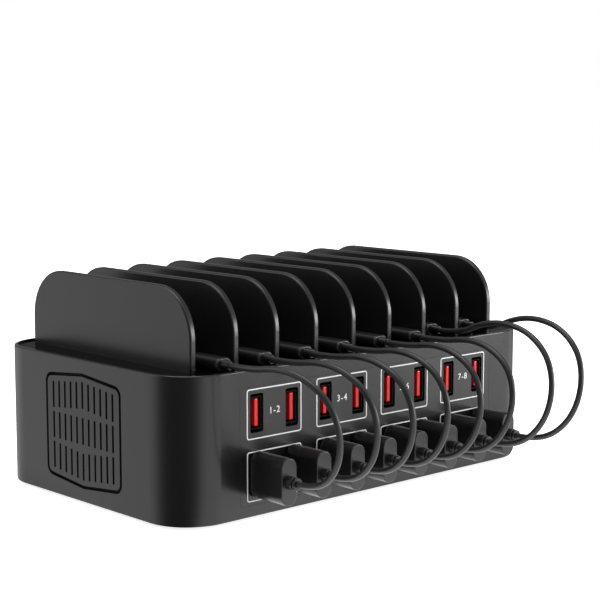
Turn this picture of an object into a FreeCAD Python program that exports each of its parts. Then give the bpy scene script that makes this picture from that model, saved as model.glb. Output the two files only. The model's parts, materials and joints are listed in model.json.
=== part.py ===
import FreeCAD
import Part
import math
import os
import Sketcher
from FreeCAD import Placement, Rotation, Vector
from types import SimpleNamespace

# Charging station organizer. Millimetres, +Z up. The origin is midway between the feet, on the
# surface that they stand on. X runs along the box, the ports face -Y and mains comes in at +Y.

SIZES = {
    # Box
    "body_length": 210,
    "body_width": 130,
    "body_height": 60,
    "corner_radius": 20,
    "wall": 3,
    "rim_width": 1.5,
    "edge_round": 0.6,
    "fit_gap": 0.1,
    # Deck, base and the screws that pull them together
    "deck_recess": 0.7,
    "deck_thickness": 2.5,
    "base_thickness": 3,
    "boss_diameter": 8,
    "boss_inset": 13,
    "screw_diameter": 2.9,
    "screw_length": 12,
    "screw_head_diameter": 5.6,
    "screw_head_height": 1.4,
    "screw_head_sink": 0.2,
    "screw_drive_length": 3,
    "screw_drive_width": 0.8,
    "screw_drive_depth": 0.8,
    "foot_diameter": 12,
    "foot_height": 1.5,
    "foot_seat": 0.5,
    "foot_inset": 25,
    "foot_round": 0.4,
    # Dividers
    "divider_end_margin": 16.4,
    "divider_front_margin": 12.2,
    "divider_back_margin": 7.1,
    "divider_height": 33.4,
    "divider_thickness": 3,
    "divider_round": 21,
    "divider_soft_edge": 0.8,
    "tab_length": 20,
    "tab_thickness": 2.2,
    "tab_depth": 5,
    "tab_spacing": 66,
    "tab_gap": 0.2,
    # Port panel
    "panel_end_margin": 29.8,
    "panel_low": 4.8,
    "panel_top_margin": 6.9,
    "panel_thickness": 2,
    "panel_ledge": 2,
    "panel_round": 2,
    "panel_boss_diameter": 6,
    # Ports
    "port_end_margin": 8.85,
    "opening_width": 7,
    "opening_height": 15.8,
    "opening_round": 1,
    "socket_width": 5.12,
    "socket_height": 12.5,
    "socket_wall": 0.3,
    "socket_depth": 13,
    "socket_recess": 0.6,
    "tongue_thickness": 1.84,
    "tongue_height": 11.2,
    "tongue_offset": 0.8,
    "tongue_recess": 0.7,
    "insulator_depth": 3.5,
    # Vent grilles
    "vent_margin": 9.55,
    "grille_width": 50.6,
    "grille_rise": 2.5,
    "grille_thickness": 2,
    "grille_round": 3,
    "groove": 1.4,
    "vent_ledge": 2.4,
    "slot_width": 1.3,
    "slot_pitch": 4.2,
    "slot_margin": 1.9,
    "slot_gap": 1.6,
    "slot_spread": 2.2,
    # Boards
    "board_thickness": 1.6,
    "board_gap": 0.5,
    "main_board_end_margin": 30,
    "main_board_width": 78,
    "standoff_height": 5,
    "standoff_diameter": 6,
    "standoff_inset": 6,
    "board_screw_diameter": 2.4,
    "board_screw_length": 5,
    "board_screw_head_diameter": 4.6,
    "board_screw_head_height": 1.6,
    # Power supply
    "transformer_length": 34,
    "transformer_width": 30,
    "transformer_height": 26,
    "core_width": 12,
    "core_stand": 3,
    "capacitor_diameter": 18,
    "capacitor_height": 30,
    "capacitor_spacing": 22,
    "capacitor_gap": 20,
    "heat_sink_length": 56,
    "heat_sink_height": 28,
    "heat_sink_thickness": 3,
    "heat_sink_end_margin": 19,
    "heat_sink_spacing": 24,
    "fin_depth": 6,
    "fin_thickness": 1.5,
    "choke_diameter": 16,
    "choke_core_diameter": 11,
    "choke_height": 14,
    "choke_flange": 2,
    "choke_end_margin": 13,
    "wire_diameter": 2.4,
    "wire_spacing": 9,
    "wire_rise": 14,
    "wire_bend": 6,
    "wire_inset": 12,
    "wire_clearance": 7,
    # Power bay, inlet and switch
    "bay_end_margin": 24,
    "bay_middle": 22,
    "bay_width": 52,
    "bay_height": 24,
    "bay_depth": 4,
    "bay_round": 3,
    "bay_spacing": 25,
    "inlet_length": 19,
    "inlet_height": 10.6,
    "inlet_depth": 18,
    "inlet_flange": 1.5,
    "inlet_flange_thickness": 1.2,
    "cavity_length": 16.4,
    "cavity_height": 8.2,
    "cavity_depth": 15,
    "pin_diameter": 2.4,
    "pin_pitch": 8.6,
    "pin_recess": 3,
    "pin_tail": 4,
    "switch_length": 19.6,
    "switch_height": 12.6,
    "switch_depth": 13,
    "switch_wall": 1.2,
    "switch_flange": 1.2,
    "switch_flange_thickness": 1.2,
    "rocker_gap": 0.4,
    "rocker_length": 15.2,
    "rocker_rise": 1.2,
    "rocker_dip": 0.2,
    "rocker_keel": 3,
    "rocker_keel_depth": 3,
    "rocker_skirt": 2,
    "rocker_tilt": 10,
    "pivot_depth": 4,
    "trunnion_diameter": 2,
    "trunnion_length": 0.9,
    "trunnion_gap": 0.05,
    # Leads
    "plug_gap": 0.3,
    "plug_width": 8.1,
    "plug_height": 19,
    "plug_length": 19,
    "plug_round": 1,
    "plug_soft_edge": 0.4,
    "collar_diameter": 5.4,
    "collar_length": 3.4,
    "neck_diameter": 4,
    "neck_length": 0.5,
    "ring_diameter": 5,
    "ring_length": 1.1,
    "relief_soft_edge": 0.3,
    "plug_shell_width": 4.5,
    "plug_shell_height": 12,
    "plug_shell_wall": 0.3,
    "plug_shell_length": 8.8,
    "cable_diameter": 2.6,
    "connector_width": 8.3,
    "connector_thickness": 5.5,
    "connector_length": 18,
    "connector_soft_edge": 0.7,
    "boot_length": 4,
    "boot_wide": 4.4,
    "boot_narrow": 3.4,
    "tip_width": 6.7,
    "tip_thickness": 1.5,
    "tip_length": 6.6,
    "tip_round": 0.7,
    "short_lead_inset": 3,
    "long_lead_inset": 13,
}

DIVIDERS = 9
GROUPS = 4
PORTS_IN_GROUP = 2
SLOT_COLUMNS = 11
SLOT_ROWS = 3
FINS = 6
OUTPUT_WIRES = 4
CUT_OVER = 1

# How high the two rows of ports are in the panel, as a share of its height
ROW_LEVELS = (0.259, 0.7735)

# A lead's route: how far it has gone from its port to its slot along X, as a share, how far out it
# is and how much higher. The first points are measured from the plug's end, the others from the
# connector's end. The last two leads are longer.
SHORT_FROM_PLUG = [(0, 0, 0), (0, 8.5, 0), (0.06, 19, 5), (0.2, 26, 15.5), (0.4, 27.5, 28)]
SHORT_FROM_CONNECTOR = [(0.62, 50, -6), (0.82, 39, 0.5), (0.95, 26.5, 2.3), (1, 13, 0), (1, 0, 0)]
LONG_FROM_PLUG = [(0, 0, 0), (0, 9.5, 0), (0.06, 21.5, 4.5), (0.2, 30, 15), (0.4, 32, 28.5)]
LONG_FROM_CONNECTOR = [
    (0.6, 65, -4),
    (0.78, 54, 4.5),
    (0.92, 40, 7.5),
    (1, 26, 6),
    (1, 12.5, 0),
    (1, 0, 0),
]
LONG_LEADS = (7, 8)

doc = FreeCAD.newDocument("charging_station_organizer")
sheet = doc.addObject("Spreadsheet::Sheet", "dims")


class Size:
    """A number worked out from the sheet, with the expression that gives it."""

    def __init__(self, value, text):
        self.value = value
        self.text = text

    def join(self, other, sign, value):
        return Size(value, f"({self.text} {sign} {as_size(other).text})")

    def __add__(self, other):
        return self.join(other, "+", self.value + float(other))

    def __sub__(self, other):
        return self.join(other, "-", self.value - float(other))

    def __mul__(self, other):
        return self.join(other, "*", self.value * float(other))

    def __truediv__(self, other):
        return self.join(other, "/", self.value / float(other))

    def __radd__(self, other):
        return as_size(other) + self

    def __rsub__(self, other):
        return as_size(other) - self

    def __rmul__(self, other):
        return as_size(other) * self

    def __neg__(self):
        return Size(-self.value, f"(0 - {self.text})")

    def __float__(self):
        return float(self.value)


def as_size(number):
    """A plain number as a Size, and a Size as it is."""
    return number if isinstance(number, Size) else Size(float(number), repr(float(number)))


def fill_sheet():
    """Write the driving sizes into the sheet, and give back each as a Size."""
    for row, (alias, value) in enumerate(SIZES.items(), 1):
        sheet.set(f"A{row}", alias)
        sheet.set(f"B{row}", str(value))
        sheet.setAlias(f"B{row}", alias)
    doc.recompute()
    return SimpleNamespace(**{alias: Size(sheet.get(alias), f"dims.{alias}") for alias in SIZES})


d = fill_sheet()

# Places that several pieces share
half_length = d.body_length / 2
half_width = d.body_width / 2
shell_bottom = d.foot_height
shell_top = d.foot_height + d.body_height
deck_top = shell_top - d.deck_recess
deck_bottom = deck_top - d.deck_thickness
base_top = shell_bottom + d.base_thickness
seat_inset = d.rim_width + d.fit_gap
panel_length = d.body_length - 2 * d.panel_end_margin
panel_height = d.body_height - d.panel_low - d.panel_top_margin
panel_middle = shell_bottom + d.panel_low + panel_height / 2
ports_in_row = GROUPS * PORTS_IN_GROUP
port_pitch = (panel_length - 2 * d.port_end_margin) / (ports_in_row - 1)
port_places = [(port - (ports_in_row - 1) / 2) * port_pitch for port in range(ports_in_row)]
group_pitch = port_pitch * PORTS_IN_GROUP
group_places = [(group - (GROUPS - 1) / 2) * group_pitch for group in range(GROUPS)]
row_heights = [shell_bottom + d.panel_low + panel_height * level for level in ROW_LEVELS]
between_rows = (row_heights[0] + row_heights[1]) / 2
vent_middle = shell_bottom + d.body_height / 2
grille_side_height = d.body_height - 2 * d.vent_margin
slot_row_pitch = (grille_side_height - 2 * d.slot_margin + d.slot_gap) / SLOT_ROWS
slot_length = slot_row_pitch - d.slot_gap
divider_pitch = (d.body_length - 2 * d.divider_end_margin) / (DIVIDERS - 1)
divider_places = [(index - (DIVIDERS - 1) / 2) * divider_pitch for index in range(DIVIDERS)]
slot_places = [place + divider_pitch / 2 for place in divider_places[:-1]]
divider_front = d.divider_front_margin - half_width
divider_back = half_width - d.divider_back_margin
tab_places = [(divider_front + divider_back + side * d.tab_spacing) / 2 for side in (-1, 1)]
socket_front = d.socket_recess - half_width
port_board_front = socket_front + d.socket_depth
port_board_back = port_board_front + d.board_thickness
board_bottom = base_top + d.standoff_height
board_top = board_bottom + d.board_thickness
main_board_length = d.body_length - 2 * d.main_board_end_margin
choke_place = main_board_length / 2 - d.choke_end_margin
capacitor_place = choke_place - d.capacitor_gap
bay_place = half_length - d.bay_end_margin - d.bay_width / 2
bay_floor = half_width - d.bay_depth
bay_height_middle = shell_bottom + d.bay_middle
inlet_place = bay_place - d.bay_spacing / 2
switch_place = bay_place + d.bay_spacing / 2
rocker_room = d.switch_height - 2 * d.switch_wall
pivot_y = bay_floor + d.switch_flange_thickness - d.pivot_depth
plug_end = -half_width - d.plug_gap - d.plug_length
lead_start = plug_end - d.collar_length - d.neck_length - d.ring_length
connector_height = deck_top + d.connector_thickness / 2


def corners(half_long, half_wide, inset):
    """Four places, set in alike from the corners of a rectangle."""
    return [(x * (half_long - inset), y * (half_wide - inset)) for x in (-1, 1) for y in (-1, 1)]


boss_corners = corners(half_length, half_width, d.boss_inset)
foot_corners = corners(half_length, half_width, d.foot_inset)
main_board_corners = corners(main_board_length / 2, d.main_board_width / 2, d.standoff_inset)


def bind(item, **sizes):
    """Tie properties of an object to the sheet."""
    for name, size in sizes.items():
        item.setExpression(name, as_size(size).text)


def place(item, corner):
    """Tie an object's place to the sheet."""
    for axis, size in zip("xyz", corner):
        item.setExpression(f"Placement.Base.{axis}", as_size(size).text)


def block(kind, name, low, high, body=None):
    """A box between two corners: a plain one, or one that a body gains or loses."""
    made = body.newObject(kind, name) if body else doc.addObject(kind, name)
    bind(made, Length=high[0] - low[0], Width=high[1] - low[1], Height=high[2] - low[2])
    place(made, low)
    return made


def rounded_block(name, low, high, radius):
    """A plain box with its edges along Y rounded."""
    plain = block("Part::Box", f"{name}_block", low, high)
    doc.recompute([plain])
    edges = [index for index, edge in enumerate(plain.Shape.Edges, 1) if edge.BoundBox.YLength > 0.1]
    made = doc.addObject("Part::Fillet", name)
    made.Base = plain
    made.Edges = [(index, float(radius), float(radius)) for index in edges]
    return made


TURNS = {
    "x": Rotation(Vector(0, 1, 0), 90),
    "y": Rotation(Vector(1, 0, 0), -90),
    "z": Rotation(),
}


def rod(kind, name, start, axis, diameter, length, body=None):
    """A cylinder that runs from a point along an axis."""
    made = body.newObject(kind, name) if body else doc.addObject(kind, name)
    bind(made, Radius=as_size(diameter) / 2, Height=length)
    made.Placement = Placement(Vector(), TURNS[axis])
    place(made, start)
    return made


def joined(name, pieces):
    made = doc.addObject("Part::MultiFuse", name)
    made.Shapes = pieces
    made.Refine = True
    return made


def cut(name, base, tool):
    made = doc.addObject("Part::Cut", name)
    made.Base = base
    made.Tool = tool
    return made


def group(label, pieces):
    """Separate solids that share one node."""
    made = doc.addObject("Part::Compound", label)
    made.Links = pieces
    made.Label = label
    return made


def new_body(label):
    made = doc.addObject("PartDesign::Body", label)
    made.Label = label
    return made


def sketch_on(body, name, role, offset):
    """A sketch on one of the body's origin planes, moved along the plane's normal."""
    made = body.newObject("Sketcher::SketchObject", name)
    plane = next(item for item in body.Origin.OriginFeatures if item.Role == role)
    made.AttachmentSupport = (plane, [""])
    made.MapMode = "FlatFace"
    made.setExpression("AttachmentOffset.Base.z", as_size(offset).text)
    return made


def hold(sketch, geometry, end, axis, size):
    """Hold a point of the sketch at a distance from the sketch's origin along X or Y."""
    if abs(float(size)) < 1e-9:
        sketch.addConstraint(Sketcher.Constraint("PointOnObject", geometry, end, -2 if axis == "X" else -1))
        return
    number = sketch.addConstraint(Sketcher.Constraint(f"Distance{axis}", -1, 1, geometry, end, float(size)))
    sketch.renameConstraint(number, f"{axis}{geometry}_{end}")
    sketch.setExpression(f"Constraints.{axis}{geometry}_{end}", as_size(size).text)


def polygon(sketch, corners):
    """A closed outline of straight lines through corners that are held from the sketch's origin."""
    points = [Vector(float(x), float(y), 0) for x, y in corners]
    first = sketch.GeometryCount
    count = len(points)
    for index, point in enumerate(points):
        sketch.addGeometry(Part.LineSegment(point, points[(index + 1) % count]), False)
    for index, (x, y) in enumerate(corners):
        line = first + index
        following = first + (index + 1) % count
        sketch.addConstraint(Sketcher.Constraint("Coincident", line, 2, following, 1))
        hold(sketch, line, 1, "X", x)
        hold(sketch, line, 1, "Y", y)


def rounded_rectangle(sketch, length, height, radius, middle=(0, 0)):
    """A rectangle with round corners: its four sides are held from the sketch's origin."""
    left, right = middle[0] - length / 2, middle[0] + length / 2
    low, high = middle[1] - height / 2, middle[1] + height / 2
    x_low, x_high, y_low, y_high = float(left), float(right), float(low), float(high)
    r = float(radius)
    sides = [
        (Vector(x_low + r, y_low), Vector(x_high - r, y_low)),
        (Vector(x_high, y_low + r), Vector(x_high, y_high - r)),
        (Vector(x_high - r, y_high), Vector(x_low + r, y_high)),
        (Vector(x_low, y_high - r), Vector(x_low, y_low + r)),
    ]
    centres = [
        Vector(x_high - r, y_low + r),
        Vector(x_high - r, y_high - r),
        Vector(x_low + r, y_high - r),
        Vector(x_low + r, y_low + r),
    ]
    first = sketch.GeometryCount
    for start, end in sides:
        sketch.addGeometry(Part.LineSegment(start, end), False)
    for quarter, centre in enumerate(centres):
        circle = Part.Circle(centre, Vector(0, 0, 1), r)
        start = (quarter - 1) * math.pi / 2
        sketch.addGeometry(Part.ArcOfCircle(circle, start, start + math.pi / 2), False)
    for quarter in range(4):
        side, corner, following = first + quarter, first + 4 + quarter, first + (quarter + 1) % 4
        sketch.addConstraint(Sketcher.Constraint("Tangent", side, 2, corner, 1))
        sketch.addConstraint(Sketcher.Constraint("Tangent", corner, 2, following, 1))
        direction = "Horizontal" if quarter % 2 == 0 else "Vertical"
        sketch.addConstraint(Sketcher.Constraint(direction, side))
    for quarter in range(3):
        sketch.addConstraint(Sketcher.Constraint("Equal", first + 4 + quarter, first + 5 + quarter))
    number = sketch.addConstraint(Sketcher.Constraint("Radius", first + 4, r))
    sketch.renameConstraint(number, f"round_{first}")
    sketch.setExpression(f"Constraints.round_{first}", as_size(radius).text)
    hold(sketch, first, 1, "Y", low)
    hold(sketch, first + 1, 1, "X", right)
    hold(sketch, first + 2, 1, "Y", high)
    hold(sketch, first + 3, 1, "X", left)


def pad(body, name, sketch, length):
    """Fill a sketch's outline along its normal."""
    made = body.newObject("PartDesign::Pad", name)
    made.Profile = sketch
    bind(made, Length=length)
    doc.recompute()
    return made


def pocket(body, name, sketch, depth, along_normal=False):
    """Cut a sketch's outline out of the body, against its normal or along it."""
    doc.recompute()
    before = body.Shape.Volume
    made = body.newObject("PartDesign::Pocket", name)
    made.Profile = sketch
    made.Reversed = along_normal
    bind(made, Length=depth)
    doc.recompute()
    if body.Shape.Volume > before - 1e-6:
        raise RuntimeError(f"{body.Label}: {name} cuts nothing")
    return made


def soften(body, name, radius, chosen):
    """Round the edges of the body that a test picks."""
    doc.recompute()
    base = body.Tip
    edges = [f"Edge{number}" for number, edge in enumerate(base.Shape.Edges, 1) if chosen(edge)]
    made = body.newObject("PartDesign::Fillet", name)
    made.Base = (base, edges)
    bind(made, Radius=radius)
    doc.recompute()
    return made


def lies_in(axis, *levels):
    """A test for edges that lie in a plane across an axis, at one of some levels."""

    def chosen(edge):
        low, high = (getattr(edge.BoundBox, axis + end) for end in ("Min", "Max"))
        return any(abs(low - float(level)) < 1e-4 and abs(high - float(level)) < 1e-4 for level in levels)

    return chosen


def repeat(body, name, feature, direction, length, count):
    """Repeat a feature in a row."""
    made = body.newObject("PartDesign::LinearPattern", name)
    made.Originals = [feature]
    made.Direction = direction
    bind(made, Length=length)
    made.Occurrences = count
    body.Tip = made
    doc.recompute()
    return made


def vent_outline(grow):
    """The grille's six-sided outline, made larger or smaller all round, seen along X."""
    side = d.grille_width / 2 + grow
    shoulder = grille_side_height / 2 + grow
    peak = shoulder + d.grille_rise
    return [
        (-side, vent_middle - shoulder),
        (0, vent_middle - peak),
        (side, vent_middle - shoulder),
        (side, vent_middle + shoulder),
        (0, vent_middle + peak),
        (-side, vent_middle + shoulder),
    ]


def at_vent_side(grow):
    """A test for the edges along X at the sides of the grille's outline."""
    side = float(d.grille_width / 2 + grow)

    def chosen(edge):
        return edge.BoundBox.XLength > 0.1 and abs(abs(edge.CenterOfMass.y) - side) < 1e-4

    return chosen


def outer_shell():
    """The wall of the box, with seats for the deck, the base, the port panel and the grilles."""
    body = new_body("outer_shell")
    outline = sketch_on(body, "shell_outline", "XY_Plane", shell_bottom)
    rounded_rectangle(outline, d.body_length, d.body_width, d.corner_radius)
    pad(body, "shell_block", outline, d.body_height)
    soften(body, "shell_edges", d.edge_round, lies_in("Z", shell_bottom, shell_top))

    hollow = sketch_on(body, "shell_hollow_outline", "XY_Plane", shell_top)
    rounded_rectangle(
        hollow,
        d.body_length - 2 * d.wall,
        d.body_width - 2 * d.wall,
        d.corner_radius - d.wall,
    )
    pocket(body, "shell_hollow", hollow, d.body_height)
    for name, level, depth, upward in (
        ("deck_seat", shell_top, d.deck_recess + d.deck_thickness, False),
        ("base_seat", shell_bottom, d.base_thickness, True),
    ):
        seat = sketch_on(body, name + "_outline", "XY_Plane", level)
        rounded_rectangle(
            seat,
            d.body_length - 2 * d.rim_width,
            d.body_width - 2 * d.rim_width,
            d.corner_radius - d.rim_width,
        )
        pocket(body, name, seat, depth, upward)

    seat = sketch_on(body, "panel_seat_outline", "XZ_Plane", half_width)
    rounded_rectangle(seat, panel_length, panel_height, d.panel_round, (0, panel_middle))
    pocket(body, "panel_seat", seat, d.panel_thickness)
    window = sketch_on(body, "panel_window_outline", "XZ_Plane", half_width)
    rounded_rectangle(
        window,
        panel_length - 2 * d.panel_ledge,
        panel_height - 2 * d.panel_ledge,
        d.panel_round,
        (0, panel_middle),
    )
    pocket(body, "panel_window", window, d.wall + CUT_OVER)

    for side, name in ((-1, "left"), (1, "right")):
        seat = sketch_on(body, f"{name}_vent_seat_outline", "YZ_Plane", side * half_length)
        polygon(seat, vent_outline(d.groove))
        pocket(body, f"{name}_vent_seat", seat, d.grille_thickness, side < 0)
        window = sketch_on(body, f"{name}_vent_window_outline", "YZ_Plane", side * half_length)
        polygon(window, vent_outline(-d.vent_ledge))
        pocket(body, f"{name}_vent_window", window, d.wall + CUT_OVER, side < 0)
    soften(body, "vent_seat_corners", d.grille_round + d.groove, at_vent_side(d.groove))

    power_bay(body)
    return body


def power_bay(body):
    """A recess in the back wall, with holes for the inlet and the switch in its floor."""
    block(
        "PartDesign::AdditiveBox",
        "bay_walls",
        (
            bay_place - d.bay_width / 2 - d.wall,
            bay_floor - d.wall,
            bay_height_middle - d.bay_height / 2 - d.wall,
        ),
        (
            bay_place + d.bay_width / 2 + d.wall,
            half_width - d.wall / 2,
            bay_height_middle + d.bay_height / 2 + d.wall,
        ),
        body,
    )
    recess = sketch_on(body, "bay_outline", "XZ_Plane", -half_width)
    rounded_rectangle(recess, d.bay_width, d.bay_height, d.bay_round, (bay_place, bay_height_middle))
    pocket(body, "bay", recess, d.bay_depth, True)
    for name, middle, length, height in (
        ("inlet_hole", inlet_place, d.inlet_length, d.inlet_height),
        ("switch_hole", switch_place, d.switch_length, d.switch_height),
    ):
        hole = sketch_on(body, name + "_outline", "XZ_Plane", -bay_floor)
        left = middle - length / 2 - d.fit_gap
        right = middle + length / 2 + d.fit_gap
        low = bay_height_middle - height / 2 - d.fit_gap
        high = bay_height_middle + height / 2 + d.fit_gap
        polygon(hole, [(left, low), (right, low), (right, high), (left, high)])
        pocket(body, name, hole, d.wall + CUT_OVER, True)


def tray_deck():
    """The deck, with a pair of sockets for each divider and four posts that the screws enter."""
    body = new_body("tray_deck")
    outline = sketch_on(body, "deck_outline", "XY_Plane", deck_bottom)
    rounded_rectangle(
        outline,
        d.body_length - 2 * seat_inset,
        d.body_width - 2 * seat_inset,
        d.corner_radius - seat_inset,
    )
    pad(body, "deck_plate", outline, d.deck_thickness)

    sockets = sketch_on(body, "tab_sockets_outline", "XY_Plane", deck_top)
    left = divider_places[0] - d.tab_thickness / 2 - d.tab_gap
    right = divider_places[0] + d.tab_thickness / 2 + d.tab_gap
    for middle in tab_places:
        low = middle - d.tab_length / 2 - d.tab_gap
        high = middle + d.tab_length / 2 + d.tab_gap
        polygon(sockets, [(left, low), (right, low), (right, high), (left, high)])
    first = pocket(body, "tab_sockets", sockets, d.deck_thickness + CUT_OVER)
    row = (sockets, ["H_Axis"])
    repeat(body, "tab_socket_rows", first, row, divider_pitch * (DIVIDERS - 1), DIVIDERS)

    for number, (x, y) in enumerate(boss_corners, 1):
        foot = (x, y, base_top)
        post = ("z", d.boss_diameter, deck_bottom - base_top, body)
        rod("PartDesign::AdditiveCylinder", f"post_{number}", foot, *post)
        hole = ("z", d.screw_diameter + 2 * d.fit_gap, d.screw_length, body)
        rod("PartDesign::SubtractiveCylinder", f"post_hole_{number}", foot, *hole)
    return body


def base_plate():
    """The bottom, with holes for the screws, seats for the feet and standoffs for the board."""
    body = new_body("base_plate")
    outline = sketch_on(body, "base_outline", "XY_Plane", shell_bottom)
    rounded_rectangle(
        outline,
        d.body_length - 2 * seat_inset,
        d.body_width - 2 * seat_inset,
        d.corner_radius - seat_inset,
    )
    pad(body, "base_sheet", outline, d.base_thickness)
    hole = "PartDesign::SubtractiveCylinder"
    for number, (x, y) in enumerate(boss_corners, 1):
        low = (x, y, shell_bottom)
        sink = d.screw_head_sink + d.screw_head_height
        rod(hole, f"screw_hole_{number}", low, "z", d.screw_diameter + 2 * d.fit_gap, d.base_thickness, body)
        rod(hole, f"screw_sink_{number}", low, "z", d.screw_head_diameter + 4 * d.fit_gap, sink, body)
    for number, (x, y) in enumerate(foot_corners, 1):
        low = (x, y, shell_bottom)
        rod(hole, f"foot_seat_{number}", low, "z", d.foot_diameter + 4 * d.fit_gap, d.foot_seat, body)
    for number, (x, y) in enumerate(main_board_corners, 1):
        low = (x, y, base_top)
        width = d.board_screw_diameter + 2 * d.fit_gap
        stand = ("z", d.standoff_diameter, d.standoff_height, body)
        rod("PartDesign::AdditiveCylinder", f"standoff_{number}", low, *stand)
        rod(hole, f"standoff_hole_{number}", low, "z", width, d.standoff_height, body)
    return body


def rubber_feet():
    """Round pads in seats under the base."""
    feet = []
    for number, (x, y) in enumerate(foot_corners, 1):
        name = f"foot_{number}"
        height = d.foot_height + d.foot_seat
        plain = rod("Part::Cylinder", f"{name}_pad", (x, y, 0), "z", d.foot_diameter, height)
        doc.recompute([plain])
        low = lies_in("Z", 0)
        edges = [index for index, edge in enumerate(plain.Shape.Edges, 1) if low(edge)]
        foot = doc.addObject("Part::Fillet", name)
        foot.Base = plain
        foot.Edges = [(index, float(d.foot_round), float(d.foot_round)) for index in edges]
        feet.append(foot)
    return group("rubber_feet", feet)


def screw(name, seat, turn, shank, length, head, head_height):
    """A screw made along Z with a cross drive, then turned and moved to its seat."""
    parts = [
        rod("Part::Cylinder", f"{name}_shank", (0, 0, -length), "z", shank, length),
        rod("Part::Cylinder", f"{name}_head", (0, 0, 0), "z", head, head_height),
    ]
    long, wide, deep = d.screw_drive_length / 2, d.screw_drive_width / 2, head_height - d.screw_drive_depth
    drive = [
        block("Part::Box", f"{name}_drive_x", (-long, -wide, deep), (long, wide, head_height + CUT_OVER)),
        block("Part::Box", f"{name}_drive_y", (-wide, -long, deep), (wide, long, head_height + CUT_OVER)),
    ]
    made = cut(name, joined(f"{name}_form", parts), joined(f"{name}_drive", drive))
    made.Placement = Placement(Vector(), turn)
    place(made, seat)
    return made


def housing_screws():
    """Screws through the base into the deck's posts."""
    screws = []
    level = shell_bottom + d.screw_head_sink + d.screw_head_height
    for number, (x, y) in enumerate(boss_corners, 1):
        form = (d.screw_diameter, d.screw_length, d.screw_head_diameter, d.screw_head_height)
        screws.append(screw(f"housing_screw_{number}", (x, y, level), Rotation(Vector(1, 0, 0), 180), *form))
    return group("housing_screws", screws)


def board_screws():
    """Screws that hold the two boards."""
    form = (
        d.board_screw_diameter,
        d.board_screw_length,
        d.board_screw_head_diameter,
        d.board_screw_head_height,
    )
    screws = []
    for number, (x, y) in enumerate(main_board_corners, 1):
        screws.append(screw(f"main_board_screw_{number}", (x, y, board_top), Rotation(), *form))
    for number, x in enumerate(group_places, 1):
        seat = (x, port_board_back, between_rows)
        screws.append(screw(f"port_board_screw_{number}", seat, TURNS["y"], *form))
    return group("board_screws", screws)


def port_panel():
    """The flush plate that the ports open through, with posts for the port board."""
    body = new_body("port_panel")
    outline = sketch_on(body, "panel_outline", "XZ_Plane", half_width - d.panel_thickness)
    rounded_rectangle(
        outline,
        panel_length - 2 * d.fit_gap,
        panel_height - 2 * d.fit_gap,
        d.panel_round - d.fit_gap,
        (0, panel_middle),
    )
    pad(body, "panel_plate", outline, d.panel_thickness)
    openings = sketch_on(body, "port_openings_outline", "XZ_Plane", half_width)
    for x in port_places[:PORTS_IN_GROUP]:
        for z in row_heights:
            rounded_rectangle(openings, d.opening_width, d.opening_height, d.opening_round, (x, z))
    first = pocket(body, "port_openings", openings, d.panel_thickness + CUT_OVER)
    repeat(body, "port_groups", first, (openings, ["H_Axis"]), group_pitch * (GROUPS - 1), GROUPS)
    back = d.panel_thickness - half_width
    for number, x in enumerate(group_places, 1):
        start = (x, back, between_rows)
        length = port_board_front - back
        post = ("y", d.panel_boss_diameter, length, body)
        rod("PartDesign::AdditiveCylinder", f"panel_post_{number}", start, *post)
        hole = ("y", d.board_screw_diameter + 2 * d.fit_gap, length, body)
        rod("PartDesign::SubtractiveCylinder", f"panel_post_hole_{number}", start, *hole)
    return body


def vent_grille(label, side):
    """A six-sided plate with rows of slots that follow its top and bottom edges."""
    plate = new_body(f"{label}_plate")
    inner_face = side * (half_length - d.grille_thickness)
    outer_face = side * half_length
    low_x, high_x = (outer_face, inner_face) if side < 0 else (inner_face, outer_face)
    outline = sketch_on(plate, f"{label}_outline", "YZ_Plane", low_x)
    polygon(outline, vent_outline(0))
    pad(plate, f"{label}_sheet", outline, d.grille_thickness)
    soften(plate, f"{label}_corners", d.grille_round, at_vent_side(0))
    last = (SLOT_COLUMNS - 1) / 2
    slots = []
    for column in range(SLOT_COLUMNS):
        place_y = (column - last) * d.slot_pitch
        spread = d.slot_spread * (1 - abs(column - last) / last)
        for row in range(SLOT_ROWS):
            level = row - (SLOT_ROWS - 1) / 2
            middle = vent_middle + level * (slot_row_pitch + spread)
            slot = block(
                "Part::Box",
                f"{label}_slot_{column}_{row}",
                (low_x - CUT_OVER, place_y - d.slot_width / 2, middle - slot_length / 2),
                (high_x + CUT_OVER, place_y + d.slot_width / 2, middle + slot_length / 2),
            )
            slots.append(slot)
    made = cut(label, plate, group(f"{label}_slots", slots))
    made.Label = label
    return made


def divider(number, x):
    """An upright plate with round top corners and two tabs that stand in the deck's sockets."""
    label = f"divider_{number}"
    body = new_body(label)
    outline = sketch_on(body, f"{label}_outline", "YZ_Plane", x - d.divider_thickness / 2)
    top = deck_top + d.divider_height
    front, back = divider_front, divider_back
    polygon(outline, [(front, deck_top), (back, deck_top), (back, top), (front, top)])
    pad(body, f"{label}_plate", outline, d.divider_thickness)
    soften(
        body,
        f"{label}_top_corners",
        d.divider_round,
        lambda edge: edge.BoundBox.XLength > 0.1 and edge.CenterOfMass.z > float(top) - 0.1,
    )
    in_faces = lies_in("X", x - d.divider_thickness / 2, x + d.divider_thickness / 2)
    at_foot = lies_in("Z", deck_top)
    soften(
        body,
        f"{label}_soft_edges",
        d.divider_soft_edge,
        lambda edge: in_faces(edge) and not at_foot(edge),
    )
    for name, middle in zip(("front", "back"), tab_places):
        block(
            "PartDesign::AdditiveBox",
            f"{label}_tab_{name}",
            (x - d.tab_thickness / 2, middle - d.tab_length / 2, deck_top - d.tab_depth),
            (x + d.tab_thickness / 2, middle + d.tab_length / 2, deck_top + d.divider_thickness),
            body,
        )
    return body


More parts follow.
